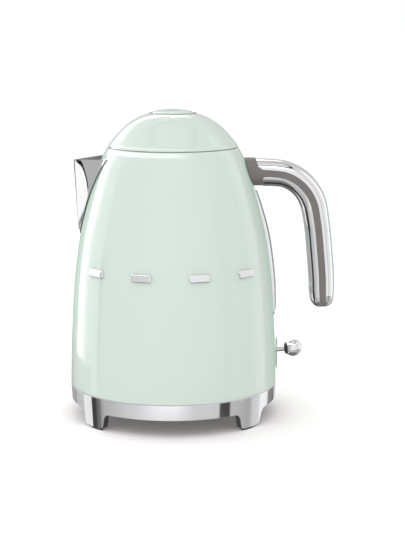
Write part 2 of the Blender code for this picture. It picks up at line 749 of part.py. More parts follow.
def lid_mechanism():
    turns = 6
    low = 219.6 * MM
    high = HEIGHT - 4.3 * MM
    wire = 0.7 * MM
    count = turns * 10
    points = []
    for i in range(count + 1):
        angle = 2 * math.pi * turns * i / count
        points.append((8 * MM * math.cos(angle), 8 * MM * math.sin(angle),
                       low + wire + (high - low - 2 * wire) * i / count))
    tube("button_spring", points, wire, "steel", 1)
    latch = box("lid_latch", (-36.4 * MM, -4 * MM, 220.3 * MM), (-13 * MM, 4 * MM, 222.3 * MM),
                "steel")
    cut(latch, box("latch_leg", (-36.4 * MM, -4 * MM, 206 * MM), (-34 * MM, 4 * MM, 221 * MM)),
        'UNION')
    cut(latch, box("latch_toe", (1 * MM - MOUTH_RADIUS, -4 * MM, 206 * MM),
                   (-34 * MM, 4 * MM, 208 * MM)), 'UNION')


power_base()
jug_bottom()
body_shell()
spout()
spout_filter()
neck_and_hinge()
steam_tube()
window()
emblems()
handle()
bracket()
switch()
lid()
lid_mechanism()
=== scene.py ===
"""Looks of the retro electric kettle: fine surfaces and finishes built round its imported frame."""
import json
import math

import bmesh
import bpy
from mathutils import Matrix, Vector
from mathutils.bvhtree import BVHTree

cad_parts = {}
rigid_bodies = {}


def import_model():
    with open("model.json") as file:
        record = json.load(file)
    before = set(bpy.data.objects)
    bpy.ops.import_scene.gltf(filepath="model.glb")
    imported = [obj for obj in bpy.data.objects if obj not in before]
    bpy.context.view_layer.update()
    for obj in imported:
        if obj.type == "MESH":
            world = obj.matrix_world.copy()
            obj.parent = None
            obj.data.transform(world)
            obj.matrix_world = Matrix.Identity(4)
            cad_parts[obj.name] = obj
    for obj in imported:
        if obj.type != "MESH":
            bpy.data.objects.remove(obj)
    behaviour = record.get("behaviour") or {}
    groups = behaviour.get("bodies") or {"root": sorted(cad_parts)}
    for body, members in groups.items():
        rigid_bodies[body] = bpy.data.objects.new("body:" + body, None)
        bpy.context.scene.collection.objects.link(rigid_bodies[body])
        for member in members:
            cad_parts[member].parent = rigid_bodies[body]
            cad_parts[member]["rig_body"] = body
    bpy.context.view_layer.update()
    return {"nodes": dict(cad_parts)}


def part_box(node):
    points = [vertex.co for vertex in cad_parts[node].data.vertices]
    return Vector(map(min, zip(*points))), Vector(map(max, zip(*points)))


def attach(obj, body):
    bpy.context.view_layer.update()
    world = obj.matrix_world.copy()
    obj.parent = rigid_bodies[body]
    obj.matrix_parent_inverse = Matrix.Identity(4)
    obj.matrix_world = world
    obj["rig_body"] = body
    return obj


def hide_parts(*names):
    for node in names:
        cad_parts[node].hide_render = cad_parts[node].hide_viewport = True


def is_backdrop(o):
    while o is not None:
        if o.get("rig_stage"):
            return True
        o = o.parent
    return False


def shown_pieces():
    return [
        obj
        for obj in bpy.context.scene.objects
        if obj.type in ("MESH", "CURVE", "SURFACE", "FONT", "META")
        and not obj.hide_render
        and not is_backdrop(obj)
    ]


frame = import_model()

# ---------------------------------------------------------------- driving values, in metres
MM = 0.001
BUTTON_LOW, BUTTON_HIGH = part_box("lid_button")
AXIS_X = (BUTTON_LOW.x + BUTTON_HIGH.x) / 2
FINE = 192
CORNER_PARTS = 5
KNOB_STEPS = 64
WALL = 1.2 * MM
CAMERA_SHIFT, CAMERA_DISTANCE, CAMERA_HEIGHT = 23.8 * MM, 1.177, 0.322
CAMERA_PITCH = 9.85
CAMERA_LENS = 97.87
SPOUT_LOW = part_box("spout")[0]
SPOUT_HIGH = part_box("spout")[1]
SPOUT_FOOT = SPOUT_LOW.z
SPOUT_RIM = 207.6 * MM
SPOUT_SHEET = 0.8 * MM
SPOUT_LEVELS = 44
CREASE_START = 178 * MM
# Half the number of faces along the spout's keel that carry the painted dark reflection
PAINTED_KEEL_LINE_HALF_FACES = 6.4
HANDLE_LINE = [(69.5, 197.6, 11.2), (80, 197.3, 10.9), (90, 196.0, 10.7), (99.5, 191.4, 10.7),
               (107.2, 184.0, 10.7), (112.6, 174.2, 10.8), (115.6, 160.5, 10.6),
               (118.5, 135.5, 10.6), (120.4, 112.0, 10.5), (120.8, 99.0, 10.1), (121.1, 92.5, 8.9),
               (121.5, 88.9, 6.0), (121.6, 88.2, 3.6), (121.6, 88.0, 1.2)]
HANDLE_HALF_WIDTH = 13.5 * MM
FOOT_AZIMUTH = 47.0
FOOT_HALF_WIDTH = 8.8 * MM
FEET = (90 - FOOT_AZIMUTH, 90 + FOOT_AZIMUTH, 270 - FOOT_AZIMUTH, 270 + FOOT_AZIMUTH)
PAD_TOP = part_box("foot_pad_1")[1].z
RING_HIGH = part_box("base_ring")[1]
RING_TOP = RING_HIGH.z
RING_RADIUS = RING_HIGH.y
RING_BOTTOM = 14 * MM
RING_DEPTH = 4 * MM
RING_LEAN = 0.7 * MM
RING_STEP = 11.4 * MM
FOOT_EXTRA_DEPTH = 2.6 * MM
PAD_MARGIN = 2.0 * MM


# ---------------------------------------------------------------- node helpers
def add_node(tree, kind, values=None, **settings):
    """A shader node with its settings, and its unlinked inputs by name or number."""
    made = tree.nodes.new(kind)
    for key, value in settings.items():
        setattr(made, key, value)
    for key, value in (values or {}).items():
        if hasattr(value, "is_linked"):
            tree.links.new(value, made.inputs[key])
        else:
            made.inputs[key].default_value = value
    return made


def compute(tree, operation, *values):
    """A Math node; values are numbers or sockets."""
    return add_node(tree, "ShaderNodeMath", dict(enumerate(values)), operation=operation).outputs[0]


def rise(tree, value, low, high):
    """0 below low, 1 above high, smooth between."""
    made = add_node(tree, "ShaderNodeMapRange", {"Value": value, "From Min": low, "From Max": high},
                    interpolation_type='SMOOTHSTEP')
    return made.outputs["Result"]


def falling(tree, value, first, last):
    """1 below first, 0 above last, smooth between."""
    return compute(tree, 'SUBTRACT', 1.0, rise(tree, value, first, last))


def between(tree, value, marks):
    """0 outside four rising marks, 1 between the middle two, smooth at both ends."""
    up = rise(tree, value, float(marks[0]), float(marks[1]))
    down = rise(tree, value, float(marks[2]), float(marks[3]))
    return compute(tree, 'SUBTRACT', up, down)


def ramp(tree, value, stops):
    """A colour ramp from a list of (position, colour)."""
    made = add_node(tree, "ShaderNodeValToRGB", {"Fac": value})
    made.color_ramp.interpolation = 'LINEAR'
    elements = made.color_ramp.elements
    while len(elements) < len(stops):
        elements.new(0.5)
    for element, (place, colour) in zip(elements, stops):
        element.position = place
        element.color = colour
    return made.outputs["Color"]


def mixed(tree, factor, first, second):
    """Blend of two colours or sockets."""
    made = add_node(tree, "ShaderNodeMix", data_type='RGBA')
    for index, value in ((0, factor), (6, first), (7, second)):
        if hasattr(value, "is_linked"):
            tree.links.new(value, made.inputs[index])
        else:
            made.inputs[index].default_value = value
    return made.outputs[2]


def grey(level, warm=0.0):
    """A grey of one linear level, a little brown when warm is above 0."""
    return (level * (1 + warm), level, level * (1 - warm), 1)


# ---------------------------------------------------------------- studio
# What stands round the kettle, as (azimuth from the front in degrees, level): to the left below 0
FLOOR_BANDS = [(-180, 0.16), (-127, 0.16), (-124, 1.2), (-104, 1.1), (-100, 0.5), (-91, 0.42),
               (-70, 0.42), (-30, 0.62), (0, 0.6), (40, 0.5), (90, 0.4), (120, 0.7),
               (150, 0.3), (180, 0.16)]
LOW_BANDS = [(-180, 0.5), (-165, 0.5), (-158, 0.2), (-146, 0.24), (-141, 0.55), (-122, 0.62),
             (-119, 0.98), (-108, 0.9), (-106, 0.05), (-98, 0.06), (-92, 0.22), (-85, 0.48),
             (-60, 0.62), (-36, 0.8), (-12, 1.14), (4, 1.14), (24, 0.74), (53.5, 0.66), (55, 0.07),
             (67, 0.06), (69, 0.54), (96, 0.44), (108, 0.7), (120, 1.0), (133, 0.95), (136, 0.3),
             (150, 0.22), (156, 0.12), (164, 0.7), (180, 0.6)]
HIGH_BANDS = [(-180, 0.5), (-139, 0.5), (-136, 2.7), (-124, 2.4), (-116, 1.4), (-106, 1.1),
              (-93.5, 1.1), (-92, 0.5), (-70, 0.48), (-50, 0.62), (-12, 0.9), (8, 0.95),
              (40, 0.9), (57, 0.92), (61, 0.6), (66, 0.6), (69, 0.88), (100, 0.88), (108, 1.25),
              (122, 1.25), (128, 0.6), (150, 0.62), (180, 0.62)]


def band_stops(bands):
    return [((azimuth + 180) / 360, grey(level, 0.08 if level < 0.1 else 0.0))
            for azimuth, level in bands]


def patch(tree, room, covers, colour):
    """The room with a colour laid over it where every cover, 0 to 1, is 1."""
    cover = covers[0]
    for other in covers[1:]:
        cover = compute(tree, 'MULTIPLY', cover, other)
    return mixed(tree, cover, room, colour)


def studio_world():
    """White room seen directly; soft boxes, grey walls and black flags in the reflections."""
    made = bpy.data.worlds.new("studio")
    made.use_nodes = True
    tree = made.node_tree
    tree.nodes.clear()
    direction = add_node(tree, "ShaderNodeTexCoord").outputs["Generated"]
    parts = add_node(tree, "ShaderNodeSeparateXYZ", {0: direction}).outputs
    away = compute(tree, 'MULTIPLY', parts[1], -1.0)
    angle = compute(tree, 'ARCTAN2', parts[0], away)
    turn = compute(tree, 'MULTIPLY_ADD', angle, 1 / (2 * math.pi), 0.5)
    height = compute(tree, 'DEGREES', compute(tree, 'ARCSINE', parts[2]))
    ground = ramp(tree, turn, band_stops(FLOOR_BANDS))
    low = ramp(tree, turn, band_stops(LOW_BANDS))
    high = ramp(tree, turn, band_stops(HIGH_BANDS))
    room = mixed(tree, rise(tree, height, -24.0, -21.0), ground, low)
    room = mixed(tree, rise(tree, height, -16.2, -15.0), room, high)
    degrees = compute(tree, 'DEGREES', angle)
    side = compute(tree, 'ABSOLUTE', degrees)
    def wall(behind, azimuths, levels, colour):
        covers = [between(tree, degrees, azimuths), between(tree, height, levels)]
        return patch(tree, behind, covers, colour)

    # Pale green behind the kettle, then the spout's black flag and the handle's grey wall
    room = patch(tree, room, [rise(tree, side, 134.0, 146.0),
                              between(tree, height, (-15.5, -13, 4, 8))], (0.45, 0.6, 0.51, 1))
    room = wall(room, (-94.0, -93.2, -88.5, -87), (-12.9, -12.7, 2, 5), grey(0.015))
    room = wall(room, (-172, -168, -104, -102), (-17.0, -16.0, -11.7, -11.3), grey(0.42))
    # Grey above the tall box on the left
    room = patch(tree, room, [between(tree, degrees, (-148, -144, -104, -100)),
                              rise(tree, height, 27.0, 30.0)], grey(0.7))
    # The tall box, its upper end bent backwards
    beyond = compute(tree, 'MAXIMUM', compute(tree, 'SUBTRACT', height, 15.0), 0.0)
    bent = compute(tree, 'MULTIPLY_ADD', compute(tree, 'MULTIPLY', beyond, beyond), 0.09, degrees)
    room = patch(tree, room, [between(tree, bent, (-140, -137, -121, -115)),
                              between(tree, height, (2, 7, 27, 30))], grey(2.8))
    # A bright bar behind on the left, between two slanted lines
    back = compute(tree, 'MAXIMUM', compute(tree, 'SUBTRACT', side, 150.0), 0.0)
    over = compute(tree, 'MULTIPLY_ADD', back, -0.95, height)
    below = compute(tree, 'MULTIPLY_ADD', back, -0.5, height)
    room = patch(tree, room, [rise(tree, over, 10.0, 14.0), falling(tree, below, 29.3, 30.6),
                              rise(tree, side, 135.0, 138.0), falling(tree, parts[0], 0.0, 0.2)],
                 grey(4.4))
    # Ceiling, the arch of light across it, a dark beam, and grey straight below
    room = patch(tree, room, [rise(tree, height, 46.0, 54.0)], grey(0.75))
    lifted = compute(tree, 'MULTIPLY_ADD', compute(tree, 'MULTIPLY', side, side), 0.00183, height)
    room = patch(tree, room, [between(tree, lifted, (51, 52, 58, 61)),
                              between(tree, degrees, (-140, -136, -10, 60))], grey(4.5))
    room = patch(tree, room, [between(tree, height, (61, 62, 66, 67))], grey(0.06))
    room = patch(tree, room, [falling(tree, height, -60.0, -50.0)], grey(0.2))
    reflected = add_node(tree, "ShaderNodeBackground", {"Color": room, "Strength": 1.0})
    seen = add_node(tree, "ShaderNodeBackground", {"Color": grey(1.0), "Strength": 1.0})
    fill = add_node(tree, "ShaderNodeBackground", {"Color": grey(1.0), "Strength": 0.98})
    path = add_node(tree, "ShaderNodeLightPath").outputs
    choice = add_node(tree, "ShaderNodeMixShader", {0: path["Is Diffuse Ray"],
                                                    1: reflected.outputs[0],
                                                    2: fill.outputs[0]})
    choice = add_node(tree, "ShaderNodeMixShader", {0: path["Is Camera Ray"],
                                                    1: choice.outputs[0], 2: seen.outputs[0]})
    add_node(tree, "ShaderNodeOutputWorld", {"Surface": choice.outputs[0]})
    bpy.context.scene.world = made


def soft_light(name, place, target, size, power):
    """A large area light that doesn't show in the polished metal."""
    data = bpy.data.lights.new(name, 'AREA')
    data.shape = 'DISK'
    data.size = size
    data.energy = power
    made = bpy.data.objects.new(name, data)
    made.location = place
    made.rotation_euler = (Vector(target) - Vector(place)).to_track_quat('-Z', 'Y').to_euler()
    made.visible_glossy = False
    made.visible_camera = False
    bpy.context.scene.collection.objects.link(made)


def studio():
    studio_world()
    bpy.context.scene.view_settings.view_transform = 'Standard'
    soft_light("overhead", (0.0, -0.1, 1.9), (0, 0, 0), 1.6, 3)
    soft_light("front", (-0.5, -1.6, 0.9), (AXIS_X, 0, 0.12), 1.2, 3)
    data = bpy.data.meshes.new("floor")
    bm = bmesh.new()
    bmesh.ops.create_circle(bm, cap_ends=True, segments=96, radius=30)
    bm.to_mesh(data)
    bm.free()
    floor = bpy.data.objects.new("floor", data)
    floor.location.z = -0.02 * MM
    bpy.context.scene.collection.objects.link(floor)
    finish = bpy.data.materials.new("pale_floor")
    finish.use_nodes = True
    tree = finish.node_tree
    shader = tree.nodes["Principled BSDF"]
    grain = add_node(tree, "ShaderNodeTexNoise", {"Scale": 9.0})
    tint = ramp(tree, grain.outputs[0], [(0.3, (0.86, 0.85, 0.845, 1)), (0.7, (0.9, 0.89, 0.885, 1))])
    tree.links.new(tint, shader.inputs["Base Color"])
    shader.inputs["Roughness"].default_value = 1.0
    shader.inputs["Specular IOR Level"].default_value = 0.0
    shader.inputs["Emission Color"].default_value = (1.0, 0.93, 0.9, 1)
    shader.inputs["Emission Strength"].default_value = 0.1
    data.materials.append(finish)
    floor.visible_glossy = False
    floor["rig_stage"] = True


def camera():
    data = bpy.data.cameras.new("camera")
    data.lens = CAMERA_LENS
    data.sensor_width = 36
    data.clip_end = 100
    made = bpy.data.objects.new("camera", data)
    made.location = (AXIS_X + CAMERA_SHIFT, -CAMERA_DISTANCE, CAMERA_HEIGHT)
    made.rotation_euler = (math.radians(90 - CAMERA_PITCH), 0, 0)
    bpy.context.scene.collection.objects.link(made)
    bpy.context.scene.camera = made


# ---------------------------------------------------------------- finishes
def new_finish(name):
    made = bpy.data.materials.new(name)
    made.use_nodes = True
    tree = made.node_tree
    shader = tree.nodes["Principled BSDF"]
    place = add_node(tree, "ShaderNodeTexCoord").outputs["Object"]
    return made, tree, shader, place


def noise(tree, place, scale, detail=3.0, stretch=None):
    """Noise over the object's own coordinates; stretch scales it along each axis."""
    if stretch:
        place = add_node(tree, "ShaderNodeMapping", {"Vector": place, "Scale": stretch}).outputs[0]
    made = add_node(tree, "ShaderNodeTexNoise", {"Vector": place, "Scale": scale,
                                                 "Detail": detail})
    return made.outputs["Fac"]


def roughness(tree, shader, value, low, high):
    made = add_node(tree, "ShaderNodeMapRange", {"Value": value, "From Min": 0.3, "From Max": 0.7,
                                                 "To Min": low, "To Max": high})
    tree.links.new(made.outputs["Result"], shader.inputs["Roughness"])


def bump(tree, shader, value, distance, strength=1.0):
    made = add_node(tree, "ShaderNodeBump", {"Height": value, "Strength": strength,
                                             "Distance": distance})
    tree.links.new(made.outputs["Normal"], shader.inputs["Normal"])


def painted_finish():
    """Pastel mint enamel under a clear gloss coat, with a trace of orange peel."""
    made, tree, shader, place = new_finish("painted")
    cloud = noise(tree, place, 14.0)
    colour = ramp(tree, cloud, [(0.3, (0.572, 0.645, 0.601, 1)), (0.7, (0.584, 0.655, 0.611, 1))])
    tree.links.new(colour, shader.inputs["Base Color"])
    roughness(tree, shader, noise(tree, place, 420.0), 0.3, 0.36)
    shader.inputs["Specular IOR Level"].default_value = 0.25
    shader.inputs["Coat Weight"].default_value = 1.0
    shader.inputs["Coat Roughness"].default_value = 0.03
    shader.inputs["Coat IOR"].default_value = 1.6
    shader.inputs["Coat Tint"].default_value = (0.96, 0.99, 0.97, 1)
    bump(tree, shader, noise(tree, place, 240.0, 2.0), 0.0015 * MM, 0.3)
    return made


def chrome_finish():
    """Bright chrome plate: faint cloudiness and hairline wipe marks."""
    made, tree, shader, place = new_finish("chrome")
    cloud = noise(tree, place, 30.0)
    colour = ramp(tree, cloud, [(0.3, (0.85, 0.855, 0.87, 1)), (0.7, (0.89, 0.895, 0.91, 1))])
    tree.links.new(colour, shader.inputs["Base Color"])
    shader.inputs["Metallic"].default_value = 1.0
    roughness(tree, shader, noise(tree, place, 90.0, 4.0, (1, 1, 6)), 0.035, 0.07)
    bump(tree, shader, noise(tree, place, 600.0, 2.0), 0.001 * MM, 0.2)
    return made


def brushed_finish(name, level, low, high, stretch):
    """Brushed steel with its lines along the least stretched axis."""
    made, tree, shader, place = new_finish(name)
    lines = noise(tree, place, 160.0, 5.0, stretch)
    colour = ramp(tree, lines, [(0.25, grey(level * 0.86, 0.01)), (0.75, grey(level * 1.08, 0.01))])
    tree.links.new(colour, shader.inputs["Base Color"])
    shader.inputs["Metallic"].default_value = 1.0
    roughness(tree, shader, lines, low, high)
    bump(tree, shader, lines, 0.02 * MM, 0.3)
    return made


def moulded_finish(name, colour, low, high, grain=0.012):
    """Moulded plastic or rubber: fine grain, slight mottling, uneven sheen."""
    made, tree, shader, place = new_finish(name)
    cloud = noise(tree, place, 55.0)
    dark = tuple(v * 0.93 for v in colour) + (1,)
    light = tuple(v * 1.06 for v in colour) + (1,)
    tree.links.new(ramp(tree, cloud, [(0.3, dark), (0.7, light)]), shader.inputs["Base Color"])
    roughness(tree, shader, noise(tree, place, 700.0), low, high)
    bump(tree, shader, noise(tree, place, 1800.0, 2.0), grain * MM, 0.5)
    return made


def clear_finish():
    """Tinted clear plastic of the water gauge, with faint flow lines."""
    made, tree, shader, place = new_finish("clear")
    flow = noise(tree, place, 40.0, 2.0, (1, 1, 0.15))
    colour = ramp(tree, flow, [(0.3, (0.8, 0.82, 0.86, 1)), (0.7, (0.88, 0.9, 0.93, 1))])
    tree.links.new(colour, shader.inputs["Base Color"])
    shader.inputs["Transmission Weight"].default_value = 0.75
    shader.inputs["IOR"].default_value = 1.49
    roughness(tree, shader, noise(tree, place, 300.0), 0.03, 0.08)
    bump(tree, shader, flow, 0.01 * MM, 0.3)
    return made


FINISHES = {
    "painted": painted_finish(),
    "chrome": chrome_finish(),
    "steel": brushed_finish("steel", 0.6, 0.22, 0.38, (1, 1, 14)),
    "brushed_inside": brushed_finish("brushed_inside", 0.5, 0.28, 0.42, (1, 1, 26)),
    # A darker copy of the brushed steel: painted shade for the inside of the spout and for its joint
    # line
    "painted_shade_steel": brushed_finish("painted_shade_steel", 0.32, 0.2, 0.3, (1, 1, 26)),
    # A darkened copy of chrome for the button's bezel: painted shade of the gap round the button
    "painted_shade_chrome": brushed_finish("painted_shade_chrome", 0.34, 0.12, 0.2, (1, 1, 8)),
    "grey_plastic": moulded_finish("grey_plastic", (0.155, 0.142, 0.134), 0.34, 0.46),
    "white_plastic": moulded_finish("white_plastic", (0.72, 0.72, 0.7), 0.36, 0.46),
    "dark_plastic": moulded_finish("dark_plastic", (0.022, 0.021, 0.02), 0.38, 0.52),
    "rubber": moulded_finish("rubber", (0.03, 0.028, 0.027), 0.7, 0.85, 0.03),
    # Flat dark plastic for thin strips of painted shade and painted dark reflection on the spout and
    # the gauge frame
    "painted_shade_line": moulded_finish("painted_shade_line", (0.07, 0.045, 0.05), 0.3, 0.4),
    "silicone": moulded_finish("silicone", (0.66, 0.65, 0.62), 0.5, 0.62),
    "clear": clear_finish(),
}


# ---------------------------------------------------------------- piece helpers
def finish_piece(name, bm, finishes, nodes, soft_edges=0.0, sharp=40):
    """Turn a bmesh into a piece that stands for CAD nodes and rides on their body."""
    bmesh.ops.recalc_face_normals(bm, faces=bm.faces)
    data = bpy.data.meshes.new(name)
    bm.to_mesh(data)
    bm.free()
    made = bpy.data.objects.new(name, data)
    bpy.context.scene.collection.objects.link(made)
    for finish in finishes:
        data.materials.append(FINISHES[finish])
    data.shade_smooth()
    if soft_edges:
        edge = made.modifiers.new("soft_edges", 'BEVEL')
        edge.width = soft_edges
        edge.segments = 3
        edge.limit_method = 'ANGLE'
        edge.angle_limit = math.radians(35)
        edge.use_clamp_overlap = True
        edge.harden_normals = False
        weighted = made.modifiers.new("shading", 'WEIGHTED_NORMAL')
        weighted.keep_sharp = True
    else:
        data.set_sharp_from_angle(angle=math.radians(sharp))
    bpy.context.view_layer.update()
    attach(made, frame["nodes"][nodes[0]]["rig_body"])
    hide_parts(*nodes)
    return made


def section(node):
    """Corner points (radius, height) of a turned CAD node in the plane through the axis along Y."""
    found = set()
    for vertex in frame["nodes"][node].data.vertices:
        if abs(vertex.co.x - AXIS_X) < 0.02 * MM and vertex.co.y > 0:
            found.add((round(vertex.co.y, 6), round(vertex.co.z, 6)))
    return sorted(found, key=lambda point: point[1])


def outer_profile(node):
    """The outer corners of a turned CAD shell, bottom to top."""
    data = frame["nodes"][node].data
    tree = BVHTree.FromPolygons([v.co for v in data.vertices], [p.vertices[:] for p in data.polygons])
    points = section(node)
    kept = []
    for radius, height in points:
        hit = tree.ray_cast(Vector((AXIS_X + 0.01 * MM, 1, height)), Vector((0, -1, 0)))[0]
        widest = max(r for r, z in points if abs(z - height) < MM)
        seen = hit is None or hit.y < radius + 0.05 * MM
        if seen and radius > widest - 0.05 * MM:
            kept.append((radius, height))
    return kept


def smooth_line(points, parts):
    """Points of a smooth line through the given ones, with slopes weighted by distance."""
    spots = [Vector(p) for p in points]
    gaps = [(b - a).length for a, b in zip(spots, spots[1:])]
    runs = [(b - a) / gap for a, b, gap in zip(spots, spots[1:], gaps)]
    slopes = [None] * len(spots)
    for i in range(1, len(spots) - 1):
        slopes[i] = (runs[i - 1] * gaps[i] + runs[i] * gaps[i - 1]) / (gaps[i - 1] + gaps[i])
    slopes[0] = runs[0] * 1.5 - slopes[1] * 0.5
    slopes[-1] = runs[-1] * 1.5 - slopes[-2] * 0.5
    result = []
    for a, b, sa, sb, gap in zip(spots, spots[1:], slopes, slopes[1:], gaps):
        for k in range(parts):
            t = k / parts
            h1 = 2 * t ** 3 - 3 * t ** 2 + 1
            h2 = t ** 3 - 2 * t ** 2 + t
            h3 = 3 * t ** 2 - 2 * t ** 3
            h4 = t ** 3 - t ** 2
            result.append(tuple(a * h1 + sa * (gap * h2) + b * h3 + sb * (gap * h4)))
    result.append(tuple(spots[-1]))
    return result


def value_at(line, height):
    """Radius of a line of (radius, height), bottom to top, at one height."""
    for (r1, z1), (r2, z2) in zip(line, line[1:]):
        if height <= z2:
            return r1 + (r2 - r1) * (height - z1) / (z2 - z1)
    return line[-1][0]


def softened(outline):
    """Round the corners of an outline of (radius, height, corner radius in metres)."""
    result = []
    count = len(outline)
    for i, point in enumerate(outline):
        here = Vector(point[:2])
        size = point[2] if len(point) > 2 else 0.0
        if not size:
            result.append(tuple(here))
            continue
        before = Vector(outline[i - 1][:2]) - here
        after = Vector(outline[(i + 1) % count][:2]) - here
        start = here + before.normalized() * min(size, before.length * 0.48)
        end = here + after.normalized() * min(size, after.length * 0.48)
        for k in range(CORNER_PARTS + 1):
            t = k / CORNER_PARTS
            result.append(tuple(start * (1 - t) ** 2 + here * (2 * t * (1 - t)) + end * t ** 2))
    return result


def turn(bm, outline, closed=True):
    """Add an outline of (radius, height) turned about the kettle's axis."""
    rows = []
    for radius, height in outline:
        if radius < 0.001 * MM:
            rows.append([bm.verts.new((AXIS_X, 0, height))])
            continue
        row = []
        for step in range(FINE):
            angle = 2 * math.pi * step / FINE
            row.append(bm.verts.new((AXIS_X + radius * math.cos(angle), radius * math.sin(angle),
                                     height)))
        rows.append(row)
    pairs = list(zip(rows, rows[1:]))
    if closed:
        pairs.append((rows[-1], rows[0]))
    for low, high in pairs:
        if len(low) == 1 and len(high) == 1:
            continue
        for step in range(FINE):
            following = (step + 1) % FINE
            corners = [low[step % len(low)], low[following % len(low)],
                       high[following % len(high)], high[step % len(high)]]
            corners = list(dict.fromkeys(corners))
            bm.faces.new(corners)


def skin(bm, rings, closed=True, looped=False, material=None):
    """Skin a list of equal rings of points. material(i, j) gives a face's material number."""
    rows = [[bm.verts.new(p) for p in ring] for ring in rings]
    width = len(rows[0])
    pairs = list(zip(rows, rows[1:]))
    if looped:
        pairs.append((rows[-1], rows[0]))
    for i, (low, high) in enumerate(pairs):
        for j in range(width if closed else width - 1):
            k = (j + 1) % width
            face = bm.faces.new((low[j], low[k], high[k], high[j]))
            if material:
                face.material_index = material(i, j)
    if closed and not looped:
        bm.faces.new(rows[0])
        bm.faces.new(list(reversed(rows[-1])))


def on_circle(radius, degrees, height):
    """A point round the kettle's axis; azimuth 0 is +X."""
    angle = math.radians(degrees)
    return Vector((AXIS_X + radius * math.cos(angle), radius * math.sin(angle), height))


def cut_away(made, cutters):
    """Cut closed bmesh shapes out of a piece, and keep the result as its own mesh."""
    helpers = []
    for number, shape in enumerate(cutters):
        bmesh.ops.recalc_face_normals(shape, faces=shape.faces)
        data = bpy.data.meshes.new(f"cutter_{number}")
        shape.to_mesh(data)
        shape.free()
        helper = bpy.data.objects.new(f"cutter_{number}", data)
        bpy.context.scene.collection.objects.link(helper)
        step = made.modifiers.new("cut", 'BOOLEAN')
        step.operation = 'DIFFERENCE'
        step.object = helper
        helpers.append(helper)
    graph = bpy.context.evaluated_depsgraph_get()
    result = bpy.data.meshes.new_from_object(made.evaluated_get(graph))
    made.modifiers.clear()
    made.data = result
    for helper in helpers:
        bpy.data.objects.remove(helper, do_unlink=True)


def block(low, high):
    """A box-shaped cutter between two corners."""
    bm = bmesh.new()
    low_ring = [(low[0], low[1], low[2]), (high[0], low[1], low[2]), (high[0], high[1], low[2]),
                (low[0], high[1], low[2])]
    skin(bm, [low_ring, [(x, y, high[2]) for x, y, _ in low_ring]])
    return bm


# ---------------------------------------------------------------- jug body, lid and button
body_line = smooth_line(outer_profile("body_shell"), 7)
lid_line = smooth_line(outer_profile("lid_dome"), 6)


def jug_body():
    """The painted jug: gloss outside, brushed steel inside, rolled rim."""
    inner = [(r - WALL, z) for r, z in reversed(body_line)]
    top = body_line[-1]
    foot = body_line[0]
    outline = [(foot[0], foot[1], 0.5 * MM), *body_line[1:-1], (top[0], top[1], 1.6 * MM),
               (top[0] - 1.15 * MM, top[1] - 0.5 * MM, 0.5 * MM), *inner[3:-1],
               (foot[0] - WALL, foot[1], 0.4 * MM)]
    bm = bmesh.new()
    turn(bm, softened(outline))
    for face in bm.faces:
        middle = face.calc_center_median()
        wall = value_at(body_line, middle.z)
        if math.hypot(middle.x - AXIS_X, middle.y) < wall - WALL * 0.6 and middle.z < top[1] - MM:
            face.material_index = 1
    made = finish_piece("jug_body", bm, ["painted", "brushed_inside"], ["body_shell"])
    gauge_low, gauge_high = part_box("water_window")
    slot_low, slot_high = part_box("switch_plate")
    far = RING_HIGH.x + 20 * MM
    hole = bmesh.new()
    corners = [(0, SPOUT_FOOT + 9 * MM), (0.42, SPOUT_RIM - 12 * MM), (0.5, SPOUT_RIM - 2 * MM)]
    half = (SPOUT_HIGH.y - SPOUT_LOW.y) * 0.36
    outline = [(y * 2 * half, z) for y, z in corners]
    outline += [(-y, z) for y, z in reversed(outline[1:])]
    skin(hole, [[(x, y, z) for y, z in outline] for x in (AXIS_X - 95 * MM, AXIS_X - 40 * MM)])
    cut_away(made, [
        block((gauge_low.x - 8 * MM, gauge_low.y - 0.4 * MM, gauge_low.z - 0.5 * MM),
              (far, gauge_high.y + 0.4 * MM, gauge_high.z + 0.5 * MM)),
        block((slot_low.x - 8 * MM, -3.2 * MM, slot_low.z + 3 * MM),
              (far, 3.2 * MM, slot_high.z - 3 * MM)), hole])
    made.data.shade_smooth()
    made.data.set_sharp_from_angle(angle=math.radians(40))


def lid_shell():
    """The painted lid, its edges rolled in at the seam and at the button's opening."""
    top = lid_line[-1]
    foot = lid_line[0]
    inner = [(r - 0.75 * MM, z - 0.55 * MM) for r, z in reversed(lid_line)]
    foot = (foot[0], foot[1] + 0.25 * MM)
    outline = [(foot[0], foot[1], 0.7 * MM), *lid_line[2:-1],
               (top[0], top[1], 0.5 * MM), (top[0] - 0.5 * MM, top[1] - 1.1 * MM, 0.3 * MM),
               *inner[2:-2], (foot[0] - 0.9 * MM, foot[1] + 0.1 * MM, 0.3 * MM)]
    bm = bmesh.new()
    turn(bm, softened(outline))
    finish_piece("lid_shell", bm, ["painted"], ["lid_dome"])


def button():
    low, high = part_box("lid_button")
    radius = high.x - AXIS_X
    top = high.z
    crown = []
    for step in range(13):
        share = step / 12
        crown.append((radius * 0.93 * share, top - 1.6 * MM * share ** 2.4))
    outline = [*crown, (radius, top - 2.5 * MM, 0.6 * MM), (radius, top - 9 * MM, 0.3 * MM),
               (14.8 * MM, top - 9 * MM, 0.2 * MM), (14.8 * MM, top - 4 * MM, 0.5 * MM),
               (3 * MM, top - 4 * MM, 0.5 * MM), (3 * MM, low.z, 0.4 * MM), (0, low.z)]
    bm = bmesh.new()
    turn(bm, softened(outline), closed=False)
    finish_piece("button_cap", bm, ["painted"], ["lid_button"])


